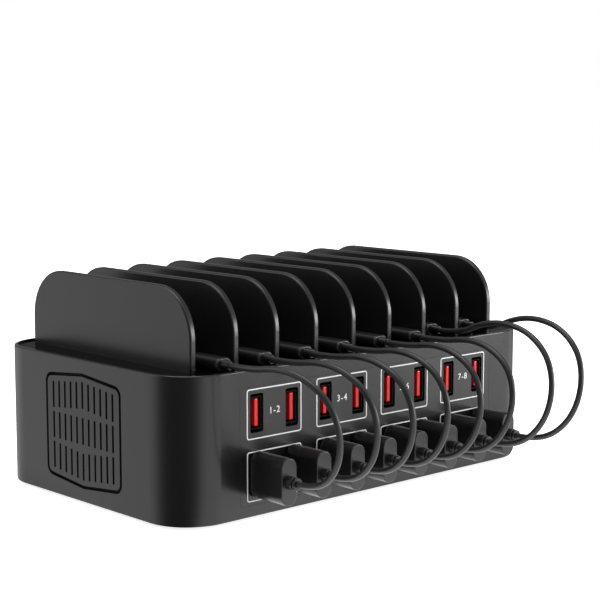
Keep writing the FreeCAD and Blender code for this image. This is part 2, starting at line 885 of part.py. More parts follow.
def socket_parts(row):
    """Each port's metal shell, open at the front, and the tongue inside it, for one row."""
    shells, tongues = [], []
    z = row_heights[row]
    wide, tall = d.socket_width / 2, d.socket_height / 2
    for number, x in enumerate(port_places, 1):
        name = f"socket_{row}_{number}"
        front, back = socket_front, port_board_front
        wall = d.socket_wall
        outer = block(
            "Part::Box",
            f"{name}_outer",
            (x - wide - wall, front, z - tall - wall),
            (x + wide + wall, back, z + tall + wall),
        )
        mouth = block(
            "Part::Box",
            f"{name}_mouth",
            (x - wide, front - CUT_OVER, z - tall),
            (x + wide, back - wall, z + tall),
        )
        shells.append(cut(f"{name}_shell", outer, mouth))
        middle = x + d.tongue_offset
        blade = block(
            "Part::Box",
            f"{name}_blade",
            (middle - d.tongue_thickness / 2, front + d.tongue_recess, z - d.tongue_height / 2),
            (middle + d.tongue_thickness / 2, back - wall, z + d.tongue_height / 2),
        )
        insulator = block(
            "Part::Box",
            f"{name}_insulator",
            (x - wide + d.fit_gap, back - wall - d.insulator_depth, z - tall + d.fit_gap),
            (x + wide - d.fit_gap, back - wall, z + tall - d.fit_gap),
        )
        tongues.append(joined(f"{name}_tongue", [blade, insulator]))
    return shells, tongues


def board_hole(name, start, axis):
    """What a screw's hole through a board takes away."""
    width = d.board_screw_diameter + 2 * d.fit_gap
    return rod("Part::Cylinder", name, start, axis, width, d.board_thickness + 2 * CUT_OVER)


def main_board():
    """The board on the base's standoffs."""
    long, wide = main_board_length / 2, d.main_board_width / 2
    low, high = (-long, -wide, board_bottom), (long, wide, board_top)
    sheet_block = block("Part::Box", "main_board_sheet", low, high)
    holes = []
    for number, (x, y) in enumerate(main_board_corners, 1):
        start = (x, y, board_bottom - CUT_OVER)
        holes.append(board_hole(f"main_board_hole_{number}", start, "z"))
    made = cut("main_board", sheet_block, group("main_board_holes", holes))
    made.Label = "main_board"
    return made


def port_board():
    """The upright board that carries the sockets."""
    long = panel_length / 2 - d.panel_ledge - d.board_gap
    tall = panel_height / 2 - d.panel_ledge - d.board_gap
    sheet_block = block(
        "Part::Box",
        "port_board_sheet",
        (-long, port_board_front, panel_middle - tall),
        (long, port_board_back, panel_middle + tall),
    )
    holes = []
    for number, x in enumerate(group_places, 1):
        start = (x, port_board_front - CUT_OVER, between_rows)
        holes.append(board_hole(f"port_board_hole_{number}", start, "y"))
    made = cut("port_board", sheet_block, group("port_board_holes", holes))
    made.Label = "port_board"
    return made


def transformer():
    """A wound block with its core standing out at both sides and over the top."""
    long, wide = d.transformer_length / 2, d.transformer_width / 2
    top = board_top + d.transformer_height
    core = block("Part::Box", "core", (-long, -d.core_width / 2, board_top), (long, d.core_width / 2, top))
    winding = block(
        "Part::Box",
        "winding",
        (-long + d.core_stand, -wide, board_top),
        (long - d.core_stand, wide, top - d.core_stand),
    )
    made = joined("transformer", [core, winding])
    made.Label = "transformer"
    return made


def bulk_capacitors():
    cans = []
    for number, side in enumerate((-1, 1), 1):
        foot = (capacitor_place, side * d.capacitor_spacing / 2, board_top)
        can = ("z", d.capacitor_diameter, d.capacitor_height)
        cans.append(rod("Part::Cylinder", f"capacitor_{number}", foot, *can))
    return group("bulk_capacitors", cans)


def heat_sinks():
    """Two upright plates with fins."""
    sinks = []
    for number in (1, 2):
        x = d.heat_sink_end_margin - main_board_length / 2 + (number - 1) * d.heat_sink_spacing
        long = d.heat_sink_length / 2
        top = board_top + d.heat_sink_height
        low, high = (x, -long, board_top), (x + d.heat_sink_thickness, long, top)
        parts = [block("Part::Box", f"sink_{number}_plate", low, high)]
        step = (d.heat_sink_length - d.fin_thickness) / (FINS - 1)
        for fin in range(FINS):
            y = -long + fin * step
            low, high = (x - d.fin_depth, y, board_top), (x, y + d.fin_thickness, top)
            parts.append(block("Part::Box", f"sink_{number}_fin_{fin}", low, high))
        sinks.append(joined(f"heat_sink_{number}", parts))
    return group("heat_sinks", sinks)


def line_choke():
    """A drum with a wound middle."""
    x, level = choke_place, board_top
    top = level + d.choke_height - d.choke_flange
    parts = [
        rod("Part::Cylinder", "choke_foot", (x, 0, level), "z", d.choke_diameter, d.choke_flange),
        rod("Part::Cylinder", "choke_core", (x, 0, level), "z", d.choke_core_diameter, d.choke_height),
        rod("Part::Cylinder", "choke_head", (x, 0, top), "z", d.choke_diameter, d.choke_flange),
    ]
    made = joined("line_choke", parts)
    made.Label = "line_choke"
    return made


def mains_inlet():
    """A two-pin inlet: a flange on the bay's floor and a cup that reaches into the box."""
    body = new_body("mains_inlet")
    z = bay_height_middle
    flange = sketch_on(body, "inlet_flange_outline", "XZ_Plane", -bay_floor - d.inlet_flange_thickness)
    rounded_rectangle(
        flange,
        d.inlet_length + 2 * d.inlet_flange,
        d.inlet_height + 2 * d.inlet_flange,
        d.inlet_flange,
        (inlet_place, z),
    )
    pad(body, "inlet_lip", flange, d.inlet_flange_thickness)
    block(
        "PartDesign::AdditiveBox",
        "inlet_cup",
        (inlet_place - d.inlet_length / 2, bay_floor - d.inlet_depth, z - d.inlet_height / 2),
        (inlet_place + d.inlet_length / 2, bay_floor, z + d.inlet_height / 2),
        body,
    )
    cavity = sketch_on(body, "inlet_cavity_outline", "XZ_Plane", -bay_floor - d.inlet_flange_thickness)
    round_end = d.cavity_height / 2 - d.fit_gap
    rounded_rectangle(cavity, d.cavity_length, d.cavity_height, round_end, (inlet_place, z))
    pocket(body, "inlet_cavity", cavity, d.cavity_depth, True)
    for side in (-1, 1):
        start = (inlet_place + side * d.pin_pitch / 2, bay_floor - d.inlet_depth, z)
        hole = ("y", d.pin_diameter + 2 * d.fit_gap, d.inlet_depth)
        rod("PartDesign::SubtractiveCylinder", f"inlet_pin_hole_{(side + 3) // 2}", start, *hole, body)
    return body


def pin_tail_end():
    return bay_floor - d.inlet_depth - d.pin_tail


def inlet_pins():
    pins = []
    length = d.inlet_depth + d.pin_tail + d.inlet_flange_thickness - d.pin_recess
    for side in (-1, 1):
        start = (inlet_place + side * d.pin_pitch / 2, pin_tail_end(), bay_height_middle)
        pin = ("y", d.pin_diameter, length)
        pins.append(rod("Part::Cylinder", f"inlet_pin_{(side + 3) // 2}", start, *pin))
    return group("inlet_pins", pins)


def switch_frame():
    """The switch's frame: a flange on the bay's floor and a box that the rocker turns in."""
    body = new_body("switch_frame")
    z = bay_height_middle
    flange = sketch_on(body, "switch_flange_outline", "XZ_Plane", -bay_floor - d.switch_flange_thickness)
    rounded_rectangle(
        flange,
        d.switch_length + 2 * d.switch_flange,
        d.switch_height + 2 * d.switch_flange,
        d.switch_flange,
        (switch_place, z),
    )
    pad(body, "switch_lip", flange, d.switch_flange_thickness)
    block(
        "PartDesign::AdditiveBox",
        "switch_box",
        (switch_place - d.switch_length / 2, bay_floor - d.switch_depth, z - d.switch_height / 2),
        (switch_place + d.switch_length / 2, bay_floor, z + d.switch_height / 2),
        body,
    )
    room = d.switch_length / 2 - d.switch_wall
    block(
        "PartDesign::SubtractiveBox",
        "rocker_room",
        (switch_place - room, bay_floor - d.switch_depth + d.switch_wall, z - rocker_room / 2),
        (switch_place + room, half_width, z + rocker_room / 2),
        body,
    )
    start = (switch_place, pivot_y, z - rocker_room / 2 - d.trunnion_length - d.trunnion_gap)
    across = rocker_room + 2 * d.trunnion_length + 2 * d.trunnion_gap
    hole = ("z", d.trunnion_diameter + 2 * d.trunnion_gap, across)
    rod("PartDesign::SubtractiveCylinder", "trunnion_holes", start, *hole, body)
    return body


def switch_rocker():
    """The rocker, made about its pivot and tilted to its off position."""
    body = new_body("switch_rocker")
    half = d.rocker_length / 2
    crest = d.pivot_depth + d.rocker_rise
    width = rocker_room - 2 * d.rocker_gap
    outline = sketch_on(body, "rocker_outline", "XY_Plane", -width / 2)
    polygon(
        outline,
        [
            (-half, crest),
            (-half, crest - d.rocker_rise - d.rocker_skirt),
            (-d.rocker_keel, -d.rocker_keel_depth),
            (d.rocker_keel, -d.rocker_keel_depth),
            (half, crest - d.rocker_rise - d.rocker_skirt),
            (half, crest),
            (0, d.pivot_depth - d.rocker_dip),
        ],
    )
    pad(body, "rocker_form", outline, width)
    reach = width / 2 + d.rocker_gap + d.trunnion_length
    trunnion = ("z", d.trunnion_diameter, 2 * reach)
    rod("PartDesign::AdditiveCylinder", "trunnions", (0, 0, -reach), *trunnion, body)
    body.Placement = Placement(Vector(), Rotation(Vector(0, 0, 1), -float(d.rocker_tilt)))
    place(body, (switch_place, pivot_y, bay_height_middle))
    return body


def tube(points, diameter, shortest_bend=None):
    """A round tube along straight runs joined by tangent arcs, with its bend radii and length."""
    edges, radii = [], []
    start = points[0]
    for index in range(1, len(points) - 1):
        before, corner, after = points[index - 1 : index + 2]
        into = (corner - before).normalize()
        away = (after - corner).normalize()
        half_turn = into.getAngle(away) / 2
        run = 0.45 * min((corner - before).Length, (after - corner).Length)
        if shortest_bend is not None:
            run = min(run, shortest_bend * math.tan(half_turn))
        radius = run / math.tan(half_turn)
        enter, leave = corner - into * run, corner + away * run
        inward = (away - into).normalize()
        crown = corner + inward * (radius / math.cos(half_turn) - radius)
        edges.append(Part.LineSegment(start, enter).toShape())
        edges.append(Part.Arc(enter, crown, leave).toShape())
        radii.append(radius)
        start = leave
    edges.append(Part.LineSegment(start, points[-1]).toShape())
    path = Part.Wire(edges)
    circle = Part.Circle(points[0], points[1] - points[0], diameter / 2).toShape()
    solid = path.makePipeShell([Part.Wire([circle])], True, False)
    expected = math.pi * diameter**2 / 4 * path.Length
    if abs(solid.Volume / expected - 1) > 0.01:
        raise RuntimeError(f"tube volume {solid.Volume:.1f}, expected {expected:.1f}")
    return solid, radii, path.Length


def feature(label, shape):
    made = doc.addObject("Part::Feature", label)
    made.Shape = shape
    made.Label = label
    made.Placement = Placement()
    return made


def mains_leads():
    """Wires from the inlet's pins to the board and the switch, and from the switch to the board."""
    z = float(bay_height_middle)
    tail = float(pin_tail_end())
    left_pin = float(inlet_place - d.pin_pitch / 2)
    right_pin = float(inlet_place + d.pin_pitch / 2)
    switch_back = float(bay_floor - d.switch_depth)
    near_switch = float(switch_place - d.switch_length / 4)
    far_switch = float(switch_place + d.switch_length / 4)
    edge = float(d.capacitor_spacing / 2 + d.capacitor_diameter / 2 + d.wire_clearance)
    top = float(board_top)
    bend = float(d.wire_bend)
    loop = tail - bend - CUT_OVER
    routes = [
        [Vector(left_pin, tail, z), Vector(left_pin, edge, z), Vector(left_pin, edge, top)],
        [
            Vector(right_pin, tail, z),
            Vector(right_pin, loop, z),
            Vector(near_switch, loop, z),
            Vector(near_switch, switch_back, z),
        ],
        [Vector(far_switch, switch_back, z), Vector(far_switch, edge, z), Vector(far_switch, edge, top)],
    ]
    wires = [tube(route, float(d.wire_diameter), bend)[0] for route in routes]
    return feature("mains_leads", Part.makeCompound(wires))


def output_leads():
    """Wires from the main board up to the back of the port board."""
    edge = float(-d.main_board_width / 2 + d.wire_inset)
    top = float(board_top)
    level = float(board_top + d.wire_rise)
    back = float(port_board_back)
    wires = []
    for number in range(OUTPUT_WIRES):
        x = (number - (OUTPUT_WIRES - 1) / 2) * float(d.wire_spacing)
        route = [Vector(x, edge, top), Vector(x, edge, level), Vector(x, back, level)]
        wires.append(tube(route, float(d.wire_diameter), float(d.wire_bend))[0])
    return feature("output_leads", Part.makeCompound(wires))


def plug(number, x):
    """A plug's grip with round narrow ends, and the stepped relief that its lead comes out of."""
    label = f"plug_{number}"
    body = new_body(label)
    z = row_heights[0]
    front = d.plug_gap + half_width
    outline = sketch_on(body, f"{label}_outline", "XZ_Plane", front)
    rounded_rectangle(outline, d.plug_width, d.plug_height, d.plug_width / 2 - d.fit_gap, (x, z))
    pad(body, f"{label}_grip", outline, d.plug_length)
    soften(body, f"{label}_panel_end", d.plug_round, lies_in("Y", -front))
    soften(body, f"{label}_lead_end", d.plug_soft_edge, lies_in("Y", plug_end))
    collar_end = plug_end - d.collar_length
    neck_end = collar_end - d.neck_length
    for name, start, diameter, length in (
        ("collar", collar_end, d.collar_diameter, d.collar_length),
        ("neck", neck_end, d.neck_diameter, d.neck_length),
        ("ring", lead_start, d.ring_diameter, d.ring_length),
    ):
        rod("PartDesign::AdditiveCylinder", f"{label}_{name}", (x, start, z), "y", diameter, length, body)
    ends = lies_in("Y", lead_start, neck_end, collar_end)
    wider = float(d.neck_diameter) + float(d.fit_gap)

    def outer(edge):
        return ends(edge) and edge.BoundBox.XLength > wider

    soften(body, f"{label}_ring_edges", d.relief_soft_edge, outer)
    return body


def plug_shells():
    """The plugs' metal sleeves, inside the lower sockets."""
    sleeves = []
    wide, tall, wall = d.plug_shell_width / 2, d.plug_shell_height / 2, d.plug_shell_wall
    front = -half_width - d.plug_gap
    back = front + d.plug_shell_length
    z = row_heights[0]
    for number, x in enumerate(port_places, 1):
        name = f"plug_sleeve_{number}"
        outer = block("Part::Box", f"{name}_outer", (x - wide, front, z - tall), (x + wide, back, z + tall))
        inner = block(
            "Part::Box",
            f"{name}_inner",
            (x - wide + wall, front - CUT_OVER, z - tall + wall),
            (x + wide - wall, back + CUT_OVER, z + tall - wall),
        )
        sleeves.append(cut(name, outer, inner))
    return group("plug_shells", sleeves)


def connector_start(number):
    """Where a lead enters its connector's boot."""
    inset = d.long_lead_inset if number in LONG_LEADS else d.short_lead_inset
    return inset - half_width


def connector(number, x):
    """A connector's grip, lying on the deck, with a tapered boot."""
    label = f"connector_{number}"
    body = new_body(label)
    boot_end = connector_start(number) + d.boot_length
    outline = sketch_on(body, f"{label}_outline", "XZ_Plane", -boot_end - d.connector_length)
    rounding = d.connector_thickness / 2 - d.fit_gap
    rounded_rectangle(outline, d.connector_width, d.connector_thickness, rounding, (x, connector_height))
    pad(body, f"{label}_grip", outline, d.connector_length)
    ends = lies_in("Y", boot_end, boot_end + d.connector_length)
    soften(body, f"{label}_soft_edges", d.connector_soft_edge, ends)
    boot = body.newObject("PartDesign::AdditiveCone", f"{label}_boot")
    bind(boot, Radius1=d.boot_narrow / 2, Radius2=d.boot_wide / 2, Height=d.boot_length)
    boot.Placement = Placement(Vector(), TURNS["y"])
    place(boot, (x, connector_start(number), connector_height))
    return body


def connector_tips():
    """The connectors' flat tips."""
    tips = []
    for number, x in enumerate(slot_places, 1):
        start = connector_start(number) + d.boot_length + d.connector_length
        low = (x - d.tip_width / 2, start, connector_height - d.tip_thickness / 2)
        high = (x + d.tip_width / 2, start + d.tip_length, connector_height + d.tip_thickness / 2)
        tips.append(rounded_block(f"tip_{number}", low, high, d.tip_round))
    return group("connector_tips", tips)


def lead(number, port_x, slot_x):
    """A lead from its plug's relief, out, up and back over the rim to its connector."""
    from_plug, from_connector = SHORT_FROM_PLUG, SHORT_FROM_CONNECTOR
    if number in LONG_LEADS:
        from_plug, from_connector = LONG_FROM_PLUG, LONG_FROM_CONNECTOR
    start_y, start_z = float(lead_start), float(row_heights[0])
    end_y, end_z = float(connector_start(number)), float(connector_height)
    points = []
    for route, y, z in ((from_plug, start_y, start_z), (from_connector, end_y, end_z)):
        for share, out, up in route:
            x = float(port_x) + share * (float(slot_x) - float(port_x))
            points.append(Vector(x, y - out, z + up))
    solid, radii, length = tube(points, float(d.cable_diameter))
    print(f"lead_{number}: length {length:.1f} mm, least bend radius {min(radii):.1f} mm")
    return feature(f"lead_{number}", solid)


def build():
    """Make every sub-part: the moulded pieces first, then the bought ones and the leads."""
    pieces = [outer_shell(), base_plate(), tray_deck(), port_panel()]
    pieces += [divider(number, x) for number, x in enumerate(divider_places, 1)]
    pieces += [mains_inlet(), switch_frame(), switch_rocker()]
    for number, (port_x, slot_x) in enumerate(zip(port_places, slot_places), 1):
        pieces += [plug(number, port_x), connector(number, slot_x), lead(number, port_x, slot_x)]
    pieces += [vent_grille("vent_grille_left", -1), vent_grille("vent_grille_right", 1)]
    pieces += [rubber_feet(), housing_screws(), board_screws(), port_board(), main_board()]
    for row, name in enumerate(("lower", "upper")):
        shells, tongues = socket_parts(row)
        pieces += [group(f"{name}_socket_shells", shells), group(f"{name}_socket_tongues", tongues)]
    pieces += [transformer(), bulk_capacitors(), heat_sinks(), line_choke()]
    pieces += [inlet_pins(), mains_leads(), output_leads(), plug_shells(), connector_tips()]
    return pieces


def check(pieces):
    """Stop if an object of the document failed, or a sub-part has no sound solid."""
    doc.recompute()
    for item in doc.Objects:
        if "Invalid" in item.State or "Error" in item.State:
            raise RuntimeError(f"{item.Label} failed: {item.State}")
    for piece in pieces:
        shape = piece.Shape
        if shape.isNull() or not shape.isValid() or not shape.Solids:
            raise RuntimeError(f"{piece.Label} has no sound solid")


sub_parts = build()
check(sub_parts)
os.makedirs("parts", exist_ok=True)
for sub_part in sub_parts:
    sub_part.Shape.exportStep(f"parts/{sub_part.Label}.step")
print(f"{len(sub_parts)} sub-parts, {sum(len(item.Shape.Solids) for item in sub_parts)} solids")
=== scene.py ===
"""Looks of a charging station organizer: its finishes, printed marks and charging leads."""

import json
import math

import bmesh
import bpy
from mathutils import Euler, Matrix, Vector

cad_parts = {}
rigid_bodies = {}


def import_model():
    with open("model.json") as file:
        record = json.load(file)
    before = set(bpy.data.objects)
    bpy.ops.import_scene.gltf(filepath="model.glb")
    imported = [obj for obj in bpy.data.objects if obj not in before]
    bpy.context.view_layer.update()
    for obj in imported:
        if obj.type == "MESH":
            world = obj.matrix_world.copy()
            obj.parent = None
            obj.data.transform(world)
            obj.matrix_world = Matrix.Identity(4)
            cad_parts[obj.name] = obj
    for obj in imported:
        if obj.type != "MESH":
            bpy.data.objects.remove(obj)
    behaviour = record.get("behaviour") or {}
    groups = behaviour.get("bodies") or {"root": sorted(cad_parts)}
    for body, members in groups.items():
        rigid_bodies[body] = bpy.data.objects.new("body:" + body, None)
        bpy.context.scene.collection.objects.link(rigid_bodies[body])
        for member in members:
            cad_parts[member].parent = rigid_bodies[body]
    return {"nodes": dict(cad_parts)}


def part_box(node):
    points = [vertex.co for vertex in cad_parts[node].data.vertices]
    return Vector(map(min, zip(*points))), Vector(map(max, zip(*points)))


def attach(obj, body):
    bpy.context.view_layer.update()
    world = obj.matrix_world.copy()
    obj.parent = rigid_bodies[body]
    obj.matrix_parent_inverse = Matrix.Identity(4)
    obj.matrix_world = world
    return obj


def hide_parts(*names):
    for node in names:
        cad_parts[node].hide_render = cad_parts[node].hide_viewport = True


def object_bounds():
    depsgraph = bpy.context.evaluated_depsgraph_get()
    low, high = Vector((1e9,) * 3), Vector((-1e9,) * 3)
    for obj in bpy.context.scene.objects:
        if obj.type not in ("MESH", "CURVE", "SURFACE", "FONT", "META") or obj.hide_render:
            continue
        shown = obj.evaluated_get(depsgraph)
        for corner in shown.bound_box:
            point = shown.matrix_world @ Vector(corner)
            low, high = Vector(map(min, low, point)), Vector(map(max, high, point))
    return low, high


MM = 0.001

# Camera, as it stood for the photograph
CAMERA_PLACE = (-0.46916, -0.52700, 0.16665)
CAMERA_TURN = (82.78, 0, -42.695)
SENSOR_WIDTH = 36
LENS = 93.84

# Painted shade in the grilles: how far round them the groove reaches, and how far in a face is still
# the outer one
GROOVE_REACH = 2 * MM
FACE_SKIN = 0.1 * MM

# Finishes: how round the tongues look, and where the inner pieces change colour
TONGUE_ROUND = 0.9 * MM
TONGUE_SAMPLES = 16
WINDING_SHARE = 0.41
TAPE_START = 3 * MM
CAN_TOP = 0.2 * MM
SLEEVE_STRIPE = 2 * MM
TRACK_SCALE = 180
TAPE_SCALE = 60
WIRE_SCALE = 111

# Printed marks on the port panel and the switch
FRAME_WIDTH = 29.5 * MM
FRAME_HEIGHT = 20.5 * MM
FRAME_LINE = 0.5 * MM
FRAME_ROUND = 1.3 * MM
FRAME_DROP = {"lower": 0.8 * MM, "upper": 0.3 * MM}
ARC_STEPS = 6
INK_PROUD = 0.03 * MM
INK_SUNK = 0.01 * MM
SIGN_SIZE = 3.9 * MM
SIGN_WEIGHT = 0.03 * MM
SIGN_SPACING = 1.2
SWITCH_SIGNS = {"switch_bar": ("I", 0.25), "switch_ring": ("O", 0.75)}
GROUPS = 4

# Leads: how far along X from port to slot as a share, then how far out and how much higher, in
# metres. The first points are measured from the plug's end, the others from the connector's end.
LEADS = 8
CABLE_DIAMETER = 2.6 * MM
CABLE_ROUND_STEPS = 6
CABLE_LENGTH_STEPS = 16
SHORT_FROM_PLUG = [
    (0, 0, 0), (0, 0.0085, 0), (0.06, 0.019, 0.005), (0.2, 0.026, 0.0155), (0.4, 0.0275, 0.028),
]
SHORT_FROM_CONNECTOR = [
    (0.62, 0.050, -0.006), (0.82, 0.039, 0.0005), (0.95, 0.0265, 0.0023), (1, 0.013, 0), (1, 0, 0),
]
LONG_FROM_PLUG = [
    (0, 0, 0), (0, 0.0095, 0), (0.06, 0.0215, 0.0045), (0.2, 0.030, 0.015), (0.4, 0.032, 0.0285),
]
LONG_FROM_CONNECTOR = [
    (0.6, 0.065, -0.004), (0.78, 0.054, 0.0045), (0.92, 0.040, 0.0075), (1, 0.026, 0.006),
    (1, 0.0125, 0), (1, 0, 0),
]
LONG_LEADS = (7, 8)

# Studio: the floor, and how much brighter gloss sees it close in front of the part
FLOOR_REACH = 4
FLOOR_GLOW = 0.8
FLOOR_MIRRORED = 1.65
NEAR_GAIN = 0.4
NEAR_REACH = 80 * MM
CORNER_INSET = 10 * MM

# Studio: how gloss sees it. It is dim near some ways, by levels from facing away to facing there, and
# loses a share of its light toward others.
FILL_LEVEL = 222
FRONT_LEFT = (-0.891, -0.454, 0)
BACK_RIGHT = (0.68, 0.6, 0.42)
BACK_LEFT = (-0.6, 0.8, 0)
DIM_STOPS = [(0.7, 0.85), (0.78, 0.62), (0.86, 0.28), (0.93, 0.1), (0.99, 0.04)]
FLOOR_DIM = [FRONT_LEFT, BACK_RIGHT]
FLOOR_LOSSES = [(BACK_LEFT, 0.3)]
SKY_DIM = [FRONT_LEFT]
SKY_LOSSES = [(BACK_LEFT, 0.3), (BACK_RIGHT, 0.72)]

# Studio: each lamp's place and size in metres, and its power in watts
SOFTBOXES = {
    "left_softbox": ((-0.95, 0.75, 0.55), 0.7, 2),
    "right_softbox": ((0.85, -0.95, 0.16), 0.5, 10),
    "top_softbox": ((-0.1, 0.1, 1.3), 0.9, 8),
}

for leftover in list(bpy.data.objects):
    bpy.data.objects.remove(leftover)
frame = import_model()
nodes = frame["nodes"]
cad_low, cad_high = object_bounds()


# Shader building

class Value:
    """A socket of a node tree. Arithmetic on it adds Math nodes to the tree."""

    def __init__(self, tree, socket):
        self.tree = tree
        self.socket = socket

    def __add__(self, other):
        return self.tree.maths("ADD", self, other)

    def __sub__(self, other):
        return self.tree.maths("SUBTRACT", self, other)

    def __mul__(self, other):
        return self.tree.maths("MULTIPLY", self, other)

    def __truediv__(self, other):
        return self.tree.maths("DIVIDE", self, other)

    def __rsub__(self, other):
        return self.tree.maths("SUBTRACT", other, self)

    def __gt__(self, other):
        return self.tree.maths("GREATER_THAN", self, other)

    def __lt__(self, other):
        return self.tree.maths("LESS_THAN", self, other)

    def __abs__(self):
        return self.tree.maths("ABSOLUTE", self)

    __radd__ = __add__
    __rmul__ = __mul__


class Tree:
    """Adds nodes to one material or world."""

    def __init__(self, owner):
        owner.use_nodes = True
        self.nodes = owner.node_tree.nodes
        self.links = owner.node_tree.links
        self.nodes.clear()

    def node(self, kind, settings=None, sockets=None, output=0):
        """A new node with its settings, its sockets by name or number, and one of its outputs."""
        made = self.nodes.new(kind)
        for name, setting in (settings or {}).items():
            if name == "stops":
                self.set_stops(made.color_ramp, setting)
            else:
                setattr(made, name, setting)
        for name, given in (sockets or {}).items():
            if isinstance(given, Value):
                self.links.new(given.socket, made.inputs[name])
            else:
                made.inputs[name].default_value = given
        return Value(self, made.outputs[output]) if made.outputs else made

    @staticmethod
    def set_stops(ramp, stops):
        while len(ramp.elements) < len(stops):
            ramp.elements.new(1)
        for element, (position, level) in zip(ramp.elements, stops):
            element.position = position
            element.color = (level, level, level, 1)

    def maths(self, operation, *inputs):
        return self.node("ShaderNodeMath", {"operation": operation}, dict(enumerate(inputs)))

    def clamp(self, value):
        return self.node("ShaderNodeClamp", None, {"Value": value})

    def mix(self, share, first, second):
        """Colour that goes from first to second as share goes from 0 to 1."""
        return self.node("ShaderNodeMix", {"data_type": "RGBA"}, {0: share, 6: first, 7: second}, 2)

    def place(self):
        """Where a point is on its piece, in metres in the part's frame."""
        return self.node("ShaderNodeTexCoord", output=3)

    def axis(self, number):
        return self.node("ShaderNodeSeparateXYZ", None, {0: self.place()}, number)

    def noise(self, grain, detail=2, stretch=None):
        """Even noise with blotches about as large as grain, in metres."""
        where = self.place()
        if stretch:
            where = self.node("ShaderNodeVectorMath", {"operation": "MULTIPLY"}, {0: where, 1: stretch})
        sockets = {"Vector": where, "Scale": 1 / grain, "Detail": detail}
        return self.node("ShaderNodeTexNoise", None, sockets)

    def rounded(self, radius, samples=4):
        """The normal as it would be with edges rounded to this radius."""
        return self.node("ShaderNodeBevel", {"samples": samples}, {"Radius": radius})

    def edges(self, radius):
        """1 along sharp and tightly rounded edges, 0 on open faces."""
        soft = self.rounded(radius)
        plain = self.node("ShaderNodeNewGeometry", output=1)
        match = self.node("ShaderNodeVectorMath", {"operation": "DOT_PRODUCT"}, {0: soft, 1: plain}, 1)
        return self.clamp((1 - match) * 4)

    def bump(self, height, depth, strength=1):
        sockets = {"Strength": strength, "Distance": depth, "Height": height}
        return self.node("ShaderNodeBump", None, sockets)

    def surface(self, sockets):
        """The Principled shader, as the material's output."""
        shader = self.node("ShaderNodeBsdfPrincipled", None, sockets)
        self.node("ShaderNodeOutputMaterial", None, {"Surface": shader})


def colour(red, green, blue):
    """A colour given as it looks on screen, from 0 to 255."""
    def linear(level):
        share = level / 255
        return share / 12.92 if share <= 0.04045 else ((share + 0.055) / 1.055) ** 2.4
    return (linear(red), linear(green), linear(blue), 1)


def grey(level):
    return colour(level, level, level)


WHITE = grey(255)


def new_finish(name):
    material = bpy.data.materials.new(name)
    return material, Tree(material)


# Finishes

def painted_vent_shade(tree):
    """Where shade is painted: 1 in the slots and the groove of the end grilles, 0 on the faces that
    show.
    """
    low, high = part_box("vent_grille_right")
    below = abs(tree.axis(0)) < high.x - FACE_SKIN
    beside = abs(tree.axis(1)) < high.y + GROOVE_REACH
    level = abs(tree.axis(2) - (low.z + high.z) / 2) < (high.z - low.z) / 2 + GROOVE_REACH
    return below * beside * level


def moulded_plastic(name, dark, light, rough, grain, depth, shaded_vents=False):
    """Moulded plastic with a fine even texture, a little polished along its edges and lightened there
    by a painted highlight; its grille slots and groove can get painted shade.
    """
    material, tree = new_finish(name)
    texture = tree.noise(grain, 3)
    cloud = tree.noise(18 * MM, 2)
    edge_highlight_and_polish = tree.edges(0.3 * MM)
    # painted highlight: edges lightened toward grey(92), standing in for light caught by their
    # rounding; the lower roughness there is polish
    base = tree.mix(edge_highlight_and_polish * 0.15, tree.mix(cloud * 0.6 + texture * 0.4, dark, light), grey(92))
    roughness = rough + texture * 0.1 + cloud * 0.06 - edge_highlight_and_polish * 0.08 - 0.08
    if shaded_vents:
        vent_shade_mask = painted_vent_shade(tree)
        # painted shade: the grille slots and groove are painted near black and made rougher
        base = tree.mix(vent_shade_mask, base, grey(3))
        roughness = roughness + vent_shade_mask * 0.6
    tree.surface({
        "Base Color": base,
        "Roughness": roughness,
        "Normal": tree.bump(texture, depth),
        "IOR": 1.5,
    })
    return material


def gloss_black(name):
    """Polished black plastic with faint wiping marks and dust."""
    material, tree = new_finish(name)
    wipes = tree.noise(3 * MM, 4, (1, 0.12, 1))
    cloud = tree.noise(25 * MM, 3)
    specks = tree.noise(0.5 * MM, 1) > 0.74
    tree.surface({
        "Base Color": tree.mix(specks * 0.4, grey(5), grey(26)),
        "Roughness": 0.1 + wipes * 0.05 + cloud * 0.05 + specks * 0.3,
        "Normal": tree.bump(cloud, 0.02 * MM, 0.25),
        "IOR": 1.05,
    })
    return material


def soft_rubber(name):
    """Dull rubber of the feet."""
    material, tree = new_finish(name)
    texture = tree.noise(0.4 * MM, 4)
    cloud = tree.noise(4 * MM, 3)
    tree.surface({
        "Base Color": tree.mix(cloud, grey(26), grey(44)),
        "Roughness": 0.7 + texture * 0.2,
        "Normal": tree.bump(texture, 0.05 * MM),
        "IOR": 1.5,
    })
    return material


def plated_metal(name, dark, light, rough):
    """Plated sheet metal, with faint drawing lines and small stains."""
    material, tree = new_finish(name)
    lines = tree.noise(0.15 * MM, 2, (1, 0.06, 1))
    cloud = tree.noise(2.5 * MM, 3)
    tree.surface({
        "Base Color": tree.mix(cloud, dark, light),
        "Metallic": 1.0,
        "Roughness": rough + lines * 0.12 + cloud * 0.08 - 0.1,
        "Normal": tree.bump(lines, 0.01 * MM, 0.4),
    })
    return material


def red_nylon(name):
    """Glossy red plastic of the contact tongues."""
    material, tree = new_finish(name)
    cloud = tree.noise(3 * MM, 3)
    texture = tree.noise(0.2 * MM, 2)
    tree.surface({
        "Base Color": tree.mix(cloud, colour(212, 18, 24), colour(228, 28, 34)),
        "Roughness": 0.14 + texture * 0.1,
        "Normal": tree.rounded(TONGUE_ROUND, TONGUE_SAMPLES),
        "IOR": 1.5,
    })
    return material


